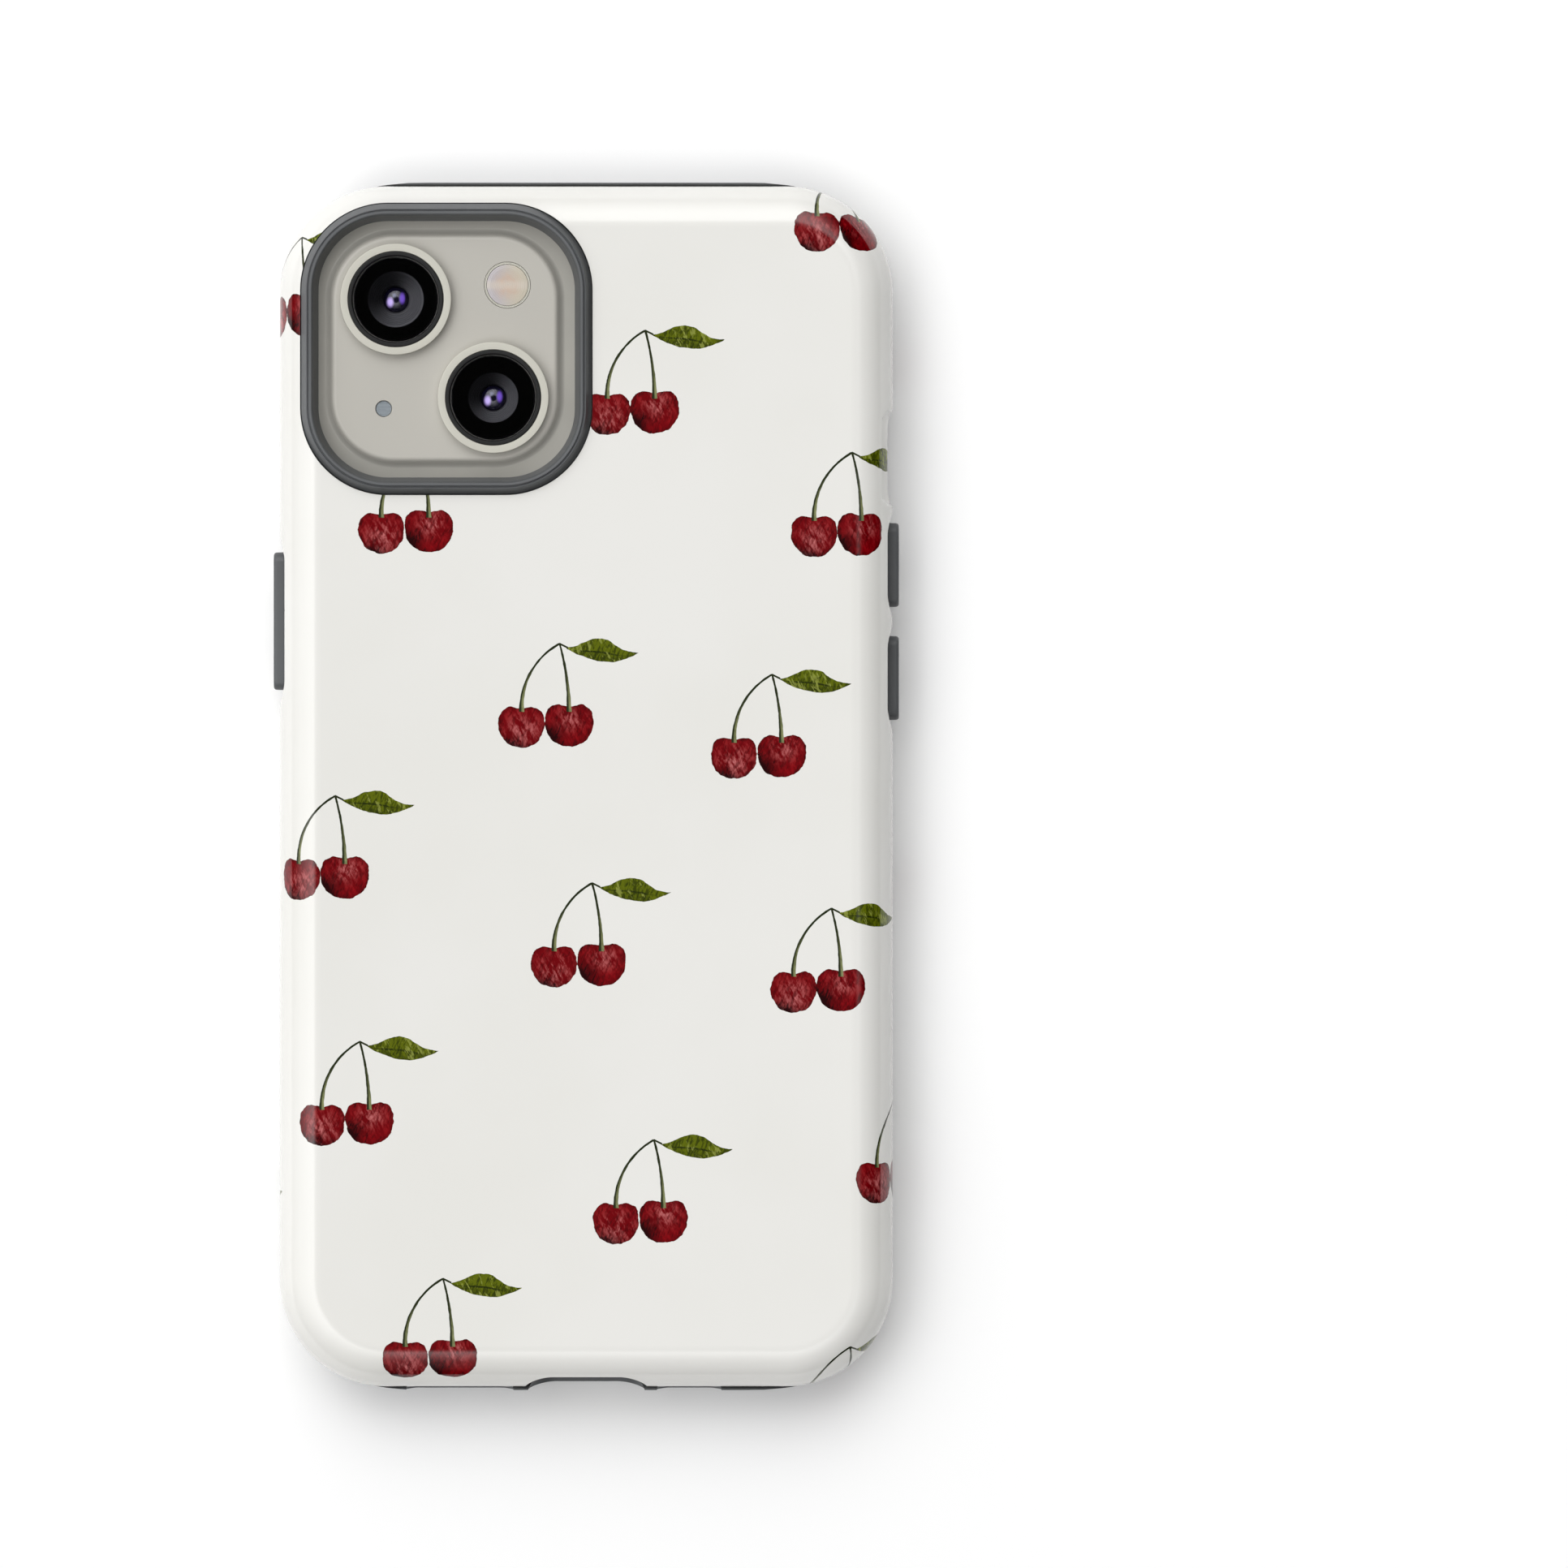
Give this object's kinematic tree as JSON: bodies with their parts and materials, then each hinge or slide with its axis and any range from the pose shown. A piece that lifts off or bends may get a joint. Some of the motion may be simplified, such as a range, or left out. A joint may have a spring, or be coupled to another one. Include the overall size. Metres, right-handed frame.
{
  "type": "smartphone in protective case",
  "caption": "Smartphone in a layered protective case: glossy printed hard shell over a rubber liner, with a raised camera window, side keys and an open screen.",
  "frame": {"origin": "middle of the case in plan, on the plane that the liner's front lip rests on", "axes": "+Z out of the back, +Y towards the phone's top and camera, +X towards the volume keys (right when seen from the back)"},
  "size_m": [0.079, 0.1528, 0.0141],
  "materials": {
    "printed_shell": "glossy white with printed fruit sprigs",
    "liner_rubber": "matte dark grey",
    "frame_aluminium": "satin anodised, warm silver",
    "coated_back_glass": "opaque pearl coating seen through glass",
    "display_glass": "polished black",
    "display_black": "black, switched off",
    "lens_ring_metal": "satin anodised, warm silver",
    "black_trim": "satin black",
    "lens_glass": "coated, polished",
    "flash_diffuser": "warm cream diffuser",
    "dark_plastic": "matte black",
    "spring_steel": "satin",
    "circuit_board": "green solder mask",
    "coil_copper": "lacquered copper"
  },
  "bodies": {
    "phone_and_case": {"outer_shell": "printed_shell", "inner_liner": "liner_rubber", "phone_frame": "frame_aluminium", "back_glass": "coated_back_glass", "display_glass": "display_glass", "display_panel": "display_black", "lens_ring_main": "lens_ring_metal", "lens_ring_wide": "lens_ring_metal", "flash_ring": "lens_ring_metal", "lens_trim_main": "black_trim", "lens_trim_wide": "black_trim", "lens_glass_main": "lens_glass", "lens_glass_wide": "lens_glass", "lens_element_main": "lens_glass", "lens_element_wide": "lens_glass", "flash_diffuser": "flash_diffuser", "lens_barrel_main": "dark_plastic", "lens_barrel_wide": "dark_plastic", "camera_module_main": "dark_plastic", "camera_module_wide": "dark_plastic", "flash_board": "dark_plastic", "silent_contact": "dark_plastic", "battery": "dark_plastic", "loudspeaker": "dark_plastic", "earpiece_speaker": "dark_plastic", "front_camera": "dark_plastic", "face_sensor": "dark_plastic", "power_contact": "spring_steel", "volume_up_contact": "spring_steel", "volume_down_contact": "spring_steel", "rear_mic_mesh": "spring_steel", "board_shield": "spring_steel", "haptic_motor": "spring_steel", "charging_port": "spring_steel", "port_screw_left": "spring_steel", "port_screw_right": "spring_steel", "logic_board": "circuit_board", "charging_coil": "coil_copper"},
    "power_key": {"power_cover": "liner_rubber", "power_button": "frame_aluminium"},
    "volume_up_key": {"volume_up_cover": "liner_rubber", "volume_up_button": "frame_aluminium"},
    "volume_down_key": {"volume_down_cover": "liner_rubber", "volume_down_button": "frame_aluminium"},
    "silent_slider": {"silent_switch": "frame_aluminium"}
  },
  "joints": [
    {"name": "power_press", "type": "slide", "parent": "phone_and_case", "child": "power_key", "axis": [1, 0, 0], "range_m": [0, 0.0003], "stiffness_N_per_m": 3000, "springref_m": -0.0003},
    {"name": "volume_up_press", "type": "slide", "parent": "phone_and_case", "child": "volume_up_key", "axis": [-1, 0, 0], "range_m": [0, 0.0003], "stiffness_N_per_m": 3000, "springref_m": -0.0003},
    {"name": "volume_down_press", "type": "slide", "parent": "phone_and_case", "child": "volume_down_key", "axis": [-1, 0, 0], "range_m": [0, 0.0003], "stiffness_N_per_m": 3000, "springref_m": -0.0003},
    {"name": "silent_slide", "type": "slide", "parent": "phone_and_case", "child": "silent_slider", "axis": [0, 0, 1], "range_m": [0, 0.0013]}
  ]
}
